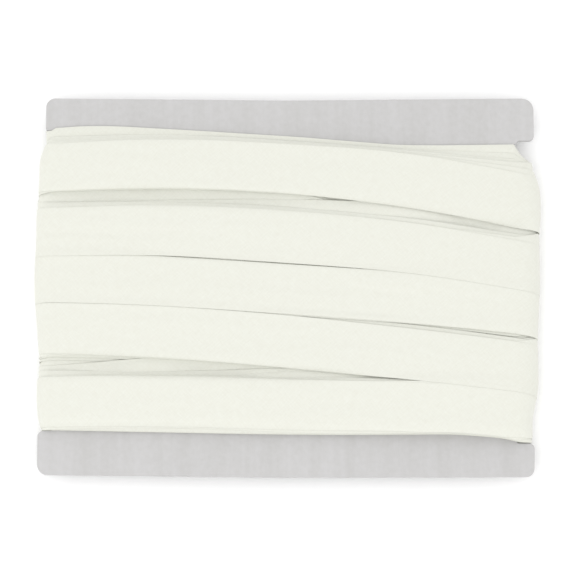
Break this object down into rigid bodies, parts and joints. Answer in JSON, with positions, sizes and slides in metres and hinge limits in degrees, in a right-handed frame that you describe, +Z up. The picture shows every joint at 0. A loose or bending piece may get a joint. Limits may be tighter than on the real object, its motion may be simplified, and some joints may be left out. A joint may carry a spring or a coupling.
{
  "type": "roll of bias binding on a winding card",
  "caption": "Folded cotton bias binding wound in broad, slightly slanting turns round the waist of a flat card, whose wider ends stand out above and below the winding.",
  "frame": {"origin": "centre of the roll's outline seen from above, on the surface it lies on", "axes": "+X along the card's longer side, to the right of the shown face; +Y across it, towards the edge at the top of the shown face; +Z up, out of the shown face"},
  "size_m": [0.198, 0.1514, 0.015],
  "materials": {
    "binding_cloth": "matt woven cotton, ivory",
    "card_board": "matt, pale warm grey"
  },
  "bodies": {
    "root": {"card": "card_board", "binding": "binding_cloth"}
  },
  "joints": []
}
